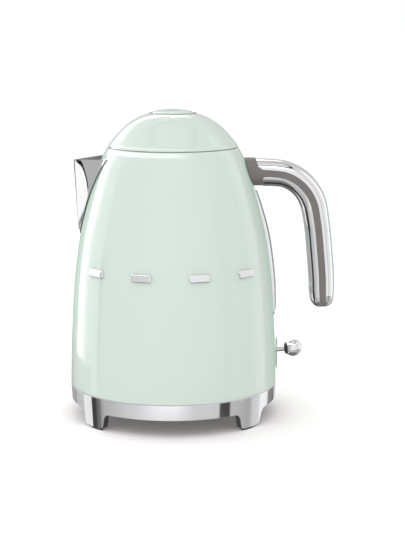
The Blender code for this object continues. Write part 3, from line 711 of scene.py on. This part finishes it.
def bezel():
    """Thin chrome ring, dished towards the button, nearly flush with the lid; its darkened chrome is
    painted shade of the gap round the button.
    """
    low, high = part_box("button_bezel")
    outer = high.x - AXIS_X
    top = high.z - 1.15 * MM
    outline = [(outer - 0.2 * MM, top - 0.9 * MM, 0.2 * MM), (outer - 0.3 * MM, top, 0.3 * MM),
               (outer - 2.6 * MM, top - 1.1 * MM, 0.3 * MM),
               (outer - 2.6 * MM, low.z, 0.2 * MM), (outer - 1.3 * MM, low.z, 0.2 * MM),
               (outer - 1.3 * MM, top - 0.9 * MM)]
    bm = bmesh.new()
    turn(bm, softened(outline))
    finish_piece("bezel_ring", bm, ["painted_shade_chrome"], ["button_bezel"])


# ---------------------------------------------------------------- spout
def beak_path(facing, crease):
    """Unit-long line in plan from the keel, by the angle its outside faces, from the front.

    The keel is rounded, the wall then faces one way, and turns quickly at crease, a share of the
    line's length.
    """
    marks = [(0.0, 90), (0.05, 84), (0.09, facing + 2), (crease, facing - 1),
             (crease + 0.06, min(41, facing - 2)), (2.0, 17)]
    count = 56
    path = [Vector((0.0, 0.0))]
    for step in range(count):
        share = (step + 0.5) / count
        for (first, high), (second, low) in zip(marks, marks[1:]):
            if share <= second:
                angle = math.radians(high + (low - high) * (share - first) / (second - first))
                break
        path.append(path[-1] + Vector((math.cos(angle), math.sin(angle))) / count)
    return path


def beak_side(root, tip, crease):
    """Points from root to tip of a side wall in plan."""
    wanted = math.atan2(root.y - tip.y, root.x - tip.x)
    low, high = 15.0, 90.0
    for _ in range(20):
        facing = (low + high) / 2
        path = beak_path(facing, crease)
        if math.atan2(path[-1].y, path[-1].x) < wanted:
            low = facing
        else:
            high = facing
    scale = (root - tip).length / path[-1].length
    return [tip + p * scale for p in reversed(path)][1:]


def spout_piece():
    """Polished beak: flange hugging the jug, bowed side walls, pointed keel, rounded rim."""
    reach = AXIS_X - SPOUT_LOW.x
    flange_half = (SPOUT_HIGH.y - SPOUT_LOW.y) / 2
    tall = SPOUT_RIM - SPOUT_FOOT
    start = value_at(body_line, SPOUT_FOOT) + 1.0 * MM
    rings = []
    for level in range(SPOUT_LEVELS + 1):
        share = level / SPOUT_LEVELS
        height = SPOUT_FOOT + tall * share
        wall = value_at(body_line, height) + 0.3 * MM
        outer = max(flange_half * share ** 1.15, 1.4 * MM)
        spread = max(0.0, (height - CREASE_START) / (SPOUT_RIM - CREASE_START))
        root = outer * (0.97 - 0.2 * spread ** 1.6)
        tip = max(start + (reach - SPOUT_SHEET - start) * share ** 0.8, wall + 1.2 * MM)
        lip = SPOUT_SHEET * 0.5
        flange = []
        for k in range(6):
            y = outer + (root - outer) * k / 5
            flange.append(Vector((-math.sqrt((wall + lip) ** 2 - y * y), y)))
        a = flange[-1]
        b = Vector((-tip, 0.0))
        side = beak_side(a, b, 0.93 - 0.66 * spread)
        joint = a.lerp(side[0], 0.5) + Vector((0.35 * MM, -0.1 * MM))
        half = flange + [joint] + side[:-1]
        top_rise = 2.5 * MM * share
        ring = []
        for point in half + [b] + [Vector((p.x, -p.y)) for p in reversed(half)]:
            back = (tip + point.x) / max(tip + flange[0].x, 0.001 * MM)
            ring.append((AXIS_X + point.x, point.y, height + top_rise * back))
        rings.append(ring)
    last = len(rings[0]) - 2

    def part(i, j):
        """Material number of a face: 1 for the painted shadow line beside the flange, 2 for the painted
        dark reflection along the keel and the painted dark line at the flange's edge, 0 for the rest.
        """
        if min(j, last - j) in (5, 6):
            return 1
        return 2 if abs(j - last / 2) < PAINTED_KEEL_LINE_HALF_FACES or min(j, last - j) == 0 else 0

    bm = bmesh.new()
    skin(bm, rings, closed=False, material=part)
    made = finish_piece("spout_beak", bm, ["chrome", "painted_shade_steel", "painted_shade_line",
                                           "painted_shade_steel"], ["spout"])
    # The sheet's inner side takes the next finish up, so the inside of the spout carries painted shade
    solid = made.modifiers.new("sheet", 'SOLIDIFY')
    solid.material_offset = 1
    solid.thickness = SPOUT_SHEET
    solid.offset = 0
    solid.use_even_offset = False
    edge = made.modifiers.new("soft_edges", 'BEVEL')
    edge.width = 0.25 * MM
    edge.segments = 3
    edge.limit_method = 'ANGLE'
    edge.angle_limit = math.radians(60)


# ---------------------------------------------------------------- handle
def soft_power(value):
    return math.copysign(abs(value) ** 0.86, value)


def handle_frames():
    line = smooth_line([tuple(v * MM for v in p) for p in HANDLE_LINE], 7)
    frames = []
    for i, (x, z, half) in enumerate(line):
        before = line[max(i - 1, 0)]
        after = line[min(i + 1, len(line) - 1)]
        along = Vector((after[0] - before[0], 0, after[1] - before[1]))
        if i > len(line) - 30:
            along = Vector((0.04, 0, -1))
        along.normalize()
        frames.append((Vector((AXIS_X + x, 0, z)), Vector((-along.z, 0, along.x)), half))
    return frames


# Faces in the inner shell's shallow groove that take dark plastic: a painted dark reflection line along
# each side of the handle
DARK_REFLECTION_FACES = (8, 9, 10, 11, 44, 45, 46, 47)
GROOVE_DEPTH = 0.22 * MM
SHELL_INSET = 0.05 * MM
SHELL_THICKNESS = 0.9 * MM
START_SHIFTS = [(-1.0, 3.4), (-0.9, 2.7), (-0.36, 2.7), (-0.27, 3.4), (0.27, 3.0), (0.3, 1.0),
                (0.34, -0.2), (0.42, -0.6), (0.6, -1.6), (0.8, -2.4), (1.0, -3.2)]


def start_shift(level):
    """How far the shells' first edge is moved along the handle at one level across it."""
    for (low, first), (high, second) in zip(START_SHIFTS, START_SHIFTS[1:]):
        if level <= high:
            return (first + (second - first) * max(level - low, 0.0) / (high - low)) * MM
    return START_SHIFTS[-1][1] * MM


def sweep(frames, angles, inset):
    """Rounded-box section placed on every frame; inset(angle) moves it inwards."""
    rings = []
    origin = frames[0][0].x
    for centre, outward, half in frames:
        width = HANDLE_HALF_WIDTH * min(1, half / (10 * MM))
        ring = []
        for angle in angles:
            turn_angle = math.radians(angle)
            depth = min(inset(angle), half * 0.5)
            across = soft_power(math.cos(turn_angle)) * (width - depth)
            level = soft_power(math.sin(turn_angle)) * (half - depth)
            shift = start_shift(soft_power(math.sin(turn_angle)))
            shift *= max(0.0, 1 - (centre.x - origin) / (12 * MM))
            ring.append(centre + Vector((shift, across, 0)) + outward * level)
        rings.append(ring)
    return rings


def groove_depth(angle):
    """Depth of the fine line pressed along each side of the inner shell."""
    from_side = min(abs(angle), 180 - abs(angle))
    return GROOVE_DEPTH if 36.5 < from_side < 43.5 else 0.0


def handle_pieces():
    frames = handle_frames()
    for name, node, start, end in (("handle_outer", "handle_outer_shell", 12.5, 167.5),
                                   ("handle_inner", "handle_inner_shell", -12.5, -167.5)):
        angles = [start + (end - start) * i / 56 for i in range(57)]
        grooved = name == "handle_inner"
        bm = bmesh.new()
        outside = sweep(frames, angles, lambda angle: groove_depth(angle) if grooved else SHELL_INSET)
        inside = sweep(frames, angles, lambda angle: SHELL_THICKNESS)
        rings = [a + list(reversed(b)) for a, b in zip(outside, inside)]

        # The groove faces take dark plastic, a painted dark reflection line
        def in_painted_reflection(i, j):
            return 1 if grooved and j in DARK_REFLECTION_FACES and i < len(frames) - 9 else 0

        skin(bm, rings, material=in_painted_reflection)
        finish_piece(name, bm, ["chrome", "dark_plastic"], [node], soft_edges=0.25 * MM)
    edge = 12.1
    stripe = [-edge, -6, 0, 6, edge]
    arc = [edge + (180 - 2 * edge) * i / 18 for i in range(1, 18)]
    angles = stripe + arc + [180 + a for a in stripe] + [180 + a for a in arc]

    def inset(angle):
        near = abs((angle + 90) % 180 - 90)
        return 0.3 * MM if near < edge + 0.1 else 1.2 * MM

    bm = bmesh.new()
    skin(bm, sweep(frames, angles, inset))
    finish_piece("handle_stripe", bm, ["grey_plastic"], ["handle_core"], sharp=30)


def bracket_piece():
    """Grey root of the handle, flared where it meets the jug's wall."""
    low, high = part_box("handle_bracket")
    centre = (low.z + high.z) / 2
    half_width = high.y
    half_height = (high.z - low.z) / 2
    rings = []
    steps = 24
    for i in range(steps + 1):
        share = i / steps
        ring = []
        for k in range(72):
            angle = 2 * math.pi * k / 72
            y = soft_power(math.cos(angle)) * half_width
            z = centre + soft_power(math.sin(angle)) * half_height
            wall = math.sqrt(max(value_at(body_line, min(z, body_line[-1][1])) ** 2 - y * y, 0.0))
            near = AXIS_X + wall + 0.3 * MM
            level = soft_power(math.sin(angle))
            far = AXIS_X + HANDLE_LINE[0][0] * MM + start_shift(level) - 0.15 * MM
            ring.append((near + (far - near) * share, y, z))
        rings.append(ring)
    bm = bmesh.new()
    skin(bm, rings)
    finish_piece("handle_root", bm, ["grey_plastic"], ["handle_bracket"], soft_edges=0.4 * MM)


# ---------------------------------------------------------------- power base
# Side of a foot, from the ring's lower edge down to the pad: (arc beyond the foot's half width, height)
FOOT_OUTER_SIDE = [(14.5, 14.0), (11.4, 13.5), (9.0, 12.0), (7.6, 9.6), (6.7, 7.0), (5.7, 4.6),
                   (4.6, 2.4), (3.0, 1.6)]
FOOT_INNER_SIDE = [(7.0, 14.0), (4.6, 13.5), (2.6, 12.1), (1.4, 9.8), (0.8, 7.2), (0.2, 4.8),
                   (-0.6, 2.7), (-2.0, 1.6)]


def foot_path():
    """Points (azimuth, height) along the ring's lower edge, all the way round."""
    floor = PAD_TOP + 0.3 * MM
    outer = smooth_line([(a * MM, z * MM) for a, z in FOOT_OUTER_SIDE], 3)
    inner = smooth_line([(a * MM, z * MM) for a, z in FOOT_INNER_SIDE], 3)
    path = []
    for number, foot in enumerate(FEET):
        first, second = (outer, inner) if number % 2 == 0 else (inner, outer)
        for arc, height in first:
            path.append((foot - math.degrees((FOOT_HALF_WIDTH + arc) / RING_RADIUS), height))
        for share in (-0.5, -0.2, 0.1, 0.4):
            path.append((foot + math.degrees(share * FOOT_HALF_WIDTH / RING_RADIUS), floor))
        for arc, height in reversed(second):
            path.append((foot + math.degrees((FOOT_HALF_WIDTH + arc) / RING_RADIUS), height))
        following = (number + 1) % 4
        after = FEET[following] + (360 if number == 3 else 0)
        next_side = outer if following % 2 == 0 else inner
        start = path[-1][0]
        end = after - math.degrees((FOOT_HALF_WIDTH + next_side[0][0]) / RING_RADIUS)
        count = int((end - start) / 2)
        for k in range(1, count):
            path.append((start + (end - start) * k / count, RING_BOTTOM))
    return path


def ring_piece():
    rings = []
    for azimuth, low in foot_path():
        ring = []
        for k in range(9):
            height = RING_TOP + (low - RING_TOP) * k / 8
            lean = RING_LEAN * (RING_TOP - height) / (RING_TOP - RING_BOTTOM)
            ring.append(on_circle(RING_RADIUS - lean, azimuth, height))
        step = max(low, RING_STEP)
        deep = RING_DEPTH + FOOT_EXTRA_DEPTH * min(1.0, (RING_BOTTOM - low) / (4 * MM))
        ring.append(on_circle(RING_RADIUS - deep, azimuth, low))
        ring.append(on_circle(RING_RADIUS - deep, azimuth, step + 0.1 * MM))
        ring.append(on_circle(RING_RADIUS - RING_DEPTH, azimuth, step + 0.2 * MM))
        ring.append(on_circle(RING_RADIUS - RING_DEPTH, azimuth, RING_TOP))
        rings.append(ring)
    bm = bmesh.new()
    skin(bm, rings, looped=True, material=lambda i, j: 1 if 8 <= j <= 10 else 0)
    finish_piece("ring_shell", bm, ["chrome", "dark_plastic"], ["base_ring"], soft_edges=0.5 * MM)


def pads():
    """Curved rubber pads under the feet."""
    for number, foot in enumerate(FEET, 1):
        rings = []
        for k in range(13):
            share = k / 6 - 1
            azimuth = foot + math.degrees(share * (FOOT_HALF_WIDTH - PAD_MARGIN) / RING_RADIUS)
            thin = 1.0 - 0.35 * abs(share) ** 4
            out = RING_RADIUS - 1.6 * MM - (1 - thin) * 2 * MM
            inside = RING_RADIUS - 3.8 * MM + (1 - thin) * 1 * MM
            rings.append([on_circle(out, azimuth, 0), on_circle(out, azimuth, PAD_TOP),
                          on_circle(inside, azimuth, PAD_TOP), on_circle(inside, azimuth, 0)])
        bm = bmesh.new()
        skin(bm, rings)
        finish_piece(f"pad_{number}", bm, ["rubber"], [f"foot_pad_{number}"], soft_edges=0.2 * MM)


# ---------------------------------------------------------------- water gauge
def rounded_frame(half_width, low, high, corner, sides=20, bends=8):
    """Points (y, z) round an upright rounded rectangle."""
    points = []
    marks = [(half_width - corner, high - corner, 0), (corner - half_width, high - corner, 90),
             (corner - half_width, low + corner, 180), (half_width - corner, low + corner, 270)]
    for number, (y, z, start) in enumerate(marks):
        for k in range(bends + 1):
            angle = math.radians(start + 90 * k / bends)
            points.append((y + corner * math.cos(angle), z + corner * math.sin(angle)))
        y_next, z_next, turn_next = marks[(number + 1) % 4]
        angle = math.radians(turn_next)
        target = (y_next + corner * math.cos(angle), z_next + corner * math.sin(angle))
        origin = points[-1]
        for k in range(1, sides):
            share = k / sides
            points.append((origin[0] + (target[0] - origin[0]) * share,
                           origin[1] + (target[1] - origin[1]) * share))
    return points


def gauge_bow(height, low, high):
    """How much of its full height the bowed gauge has at one level: 0 at the ends."""
    share = min(max((height - low) / (high - low), 0.0), 1.0)
    return math.sin(math.pi * share) ** 0.6


GAUGE_CORNER = 5 * MM
GLASS_CORNER = 2.6 * MM
GLASS_DEPTH = 3.2 * MM


def gauge():
    low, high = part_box("window_frame")
    glass_low, glass_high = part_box("water_window")
    outer = rounded_frame(high.y, low.z, high.z, GAUGE_CORNER)
    inner = rounded_frame(glass_high.y + 0.35 * MM, glass_low.z - 0.4 * MM, glass_high.z + 0.4 * MM,
                          GLASS_CORNER)

    def spot(point, proud):
        y, z = point
        wall = value_at(body_line, z) + proud
        return (AXIS_X + math.sqrt(wall * wall - y * y), y, z)

    rings = []
    for shares in ((0.0, 0.2, 0.0), (0.0, 0.5, 0.3), (0.12, 0.6, 0.8), (0.4, 0.7, 1.2),
                   (0.62, 0.75, 1.55), (1.0, 0.75, 1.75), (1.0, -3.0, -0.4)):
        across, base, bowed = shares
        ring = []
        for a, b in zip(outer, inner):
            point = (a[0] + (b[0] - a[0]) * across, a[1] + (b[1] - a[1]) * across)
            ring.append(spot(point, (base + bowed * gauge_bow(point[1], low.z, high.z)) * MM))
        rings.append(ring)
    bm = bmesh.new()
    # The frame's last top strip and its inner edge against the clear strip take the dark finish: a
    # painted shade line in the gap
    skin(bm, rings, looped=True, material=lambda i, j: 1 if i in (4, 5) else 0)
    finish_piece("gauge_frame", bm, ["chrome", "painted_shade_line"], ["window_frame"], sharp=50)
    rings = []
    for k in range(49):
        z = glass_low.z + (glass_high.z - glass_low.z) * k / 48
        crest = 1.3 * MM + 2.3 * MM * gauge_bow(z, low.z, high.z)
        wall = value_at(body_line, z)
        ring = []
        for step in range(17):
            share = step / 8 - 1
            y = glass_high.y * share
            crown = crest * (1 - 0.42 * abs(share) ** 3)
            ring.append((AXIS_X + wall + crown, y, z))
        ring.append((AXIS_X + wall - GLASS_DEPTH, glass_high.y, z))
        ring.append((AXIS_X + wall - GLASS_DEPTH, -glass_high.y, z))
        rings.append(ring)
    bm = bmesh.new()
    skin(bm, rings)
    finish_piece("gauge_strip", bm, ["clear"], ["water_window"], soft_edges=0.3 * MM)


# ---------------------------------------------------------------- switch and small fittings
def lathe_between(name, start, end, outline, finishes, nodes, bands):
    """Turn (radius, distance from start) about the line from start to end."""
    axis = (Vector(end) - Vector(start)).normalized()
    side = axis.orthogonal().normalized()
    other = axis.cross(side)
    rings = []
    for radius, along in outline:
        rings.append([Vector(start) + axis * along
                      + (side * math.cos(2 * math.pi * k / KNOB_STEPS)
                         + other * math.sin(2 * math.pi * k / KNOB_STEPS)) * radius
                      for k in range(KNOB_STEPS)])
    bm = bmesh.new()
    skin(bm, rings, material=lambda i, j: bands[i])
    finish_piece(name, bm, finishes, nodes, sharp=45)


# The dark collar, as (radius, distance from the ball's back) in mm, and where the ball takes over
COLLAR = [(0.3, -0.2), (3.3, -0.2), (4.3, 0.4), (5.1, 2.3)]
COLLAR_END = 2.5 * MM
KNOB_ARCS = 32


def switch_knob():
    """Polished ball with a dark conical collar where the stem enters it."""
    low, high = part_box("switch_ball")
    ball = (low + high) / 2
    radius = (high.y - low.y) / 2
    stem_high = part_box("switch_lever")[1]
    root = Vector((stem_high.x, ball.y, stem_high.z - 1.5 * MM))
    axis = (ball - root).normalized()
    back = ball - axis * radius
    outline = [(across * MM, along * MM) for across, along in COLLAR]
    first = math.acos(1 - COLLAR_END / radius)
    for k in range(KNOB_ARCS + 1):
        angle = first + (math.pi - 0.03 - first) * k / KNOB_ARCS
        outline.append((radius * math.sin(angle), radius * (1 - math.cos(angle))))
    bands = [1] * len(COLLAR) + [0] * KNOB_ARCS
    lathe_between("knob_ball", back, ball, outline, ["chrome", "dark_plastic"], ["switch_ball"],
                  bands=bands)


def emblem_bars():
    """Plain pillowed chrome bars."""
    for number in range(1, 5):
        node = f"emblem_{number}"
        data = frame["nodes"][node].data
        centre = sum((v.co for v in data.vertices), Vector()) / len(data.vertices)
        out = Vector((centre.x - AXIS_X, centre.y, 0)).normalized()
        across = Vector((-out.y, out.x, 0))
        heights = [v.co.z for v in data.vertices]
        lean = (value_at(body_line, centre.z - 8 * MM) - value_at(body_line, centre.z + 8 * MM))
        up = (Vector((0, 0, 16 * MM)) - out * lean).normalized()
        out = across.cross(up).normalized() * (1 if across.cross(up).dot(out) > 0 else -1)
        half_long = max(abs((v.co - centre).dot(across)) for v in data.vertices)
        half_tall = (max(heights) - min(heights)) / 2
        half_thick = 0.75 * MM
        rings = []
        for level, size in ((-1.0, 0.96), (-0.6, 1.0), (0.1, 1.0), (0.5, 0.97), (0.8, 0.88),
                            (0.95, 0.72), (1.0, 0.4)):
            ring = []
            for y, z in rounded_frame(half_long * (1 - (1 - size) * 0.35), -half_tall * size,
                                      half_tall * size, 1.3 * MM * size, 10, 6):
                ring.append(centre + across * y + up * z + out * (half_thick * level))
            rings.append(ring)
        bm = bmesh.new()
        skin(bm, rings)
        finish_piece(f"bar_{number}", bm, ["chrome"], [node], sharp=60)


# ---------------------------------------------------------------- pieces kept in shape, made finer
def refined(node, finish, edge=0.2):
    """The CAD node's own shape, welded, with its edges broken and its round faces smooth."""
    bm = bmesh.new()
    bm.from_mesh(frame["nodes"][node].data)
    bmesh.ops.remove_doubles(bm, verts=bm.verts, dist=0.005 * MM)
    bmesh.ops.dissolve_limit(bm, angle_limit=math.radians(1), verts=bm.verts, edges=bm.edges)
    return finish_piece(node + "_part", bm, [finish], [node], soft_edges=edge * MM)


def carried_over():
    """Every CAD node still showing gets its finish, and a finer copy where edges would be seen."""
    finishes = {
        "steel": (["base_screw_1", "base_screw_2", "base_screw_3", "jug_screw_1", "jug_screw_2",
                   "jug_screw_3", "handle_screw_1", "handle_screw_2", "hinge_pin", "switch_pin",
                   "switch_lever", "lever_bracket", "lid_latch", "switch_plate"], 0.2),
        "white_plastic": (["control_unit", "steam_tube", "trip_rod", "neck_ring", "lid_liner",
                           "spout_filter_frame"], 0.25),
        "dark_plastic": (["base_top", "base_socket", "base_underside", "jug_connector",
                          "jug_underside"], 0.35),
        "grey_plastic": (["cord_inlet"], 0.4),
        "silicone": (["plate_seal", "window_gasket", "lid_seal"], 0.15),
        "brushed_inside": (["heating_plate", "spout_filter_mesh"], 0.1),
    }
    for finish, (nodes, edge) in finishes.items():
        for node in nodes:
            made = refined(node, finish, edge)
    for node in ("heating_element", "lid_spring", "button_spring"):
        slots = frame["nodes"][node].material_slots
        for place in slots:
            place.material = FINISHES["steel"]


camera()
studio()
jug_body()
lid_shell()
button()
bezel()
spout_piece()
handle_pieces()
bracket_piece()
ring_piece()
pads()
gauge()
switch_knob()
emblem_bars()
carried_over()

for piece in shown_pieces():
    piece.visible_glossy = False
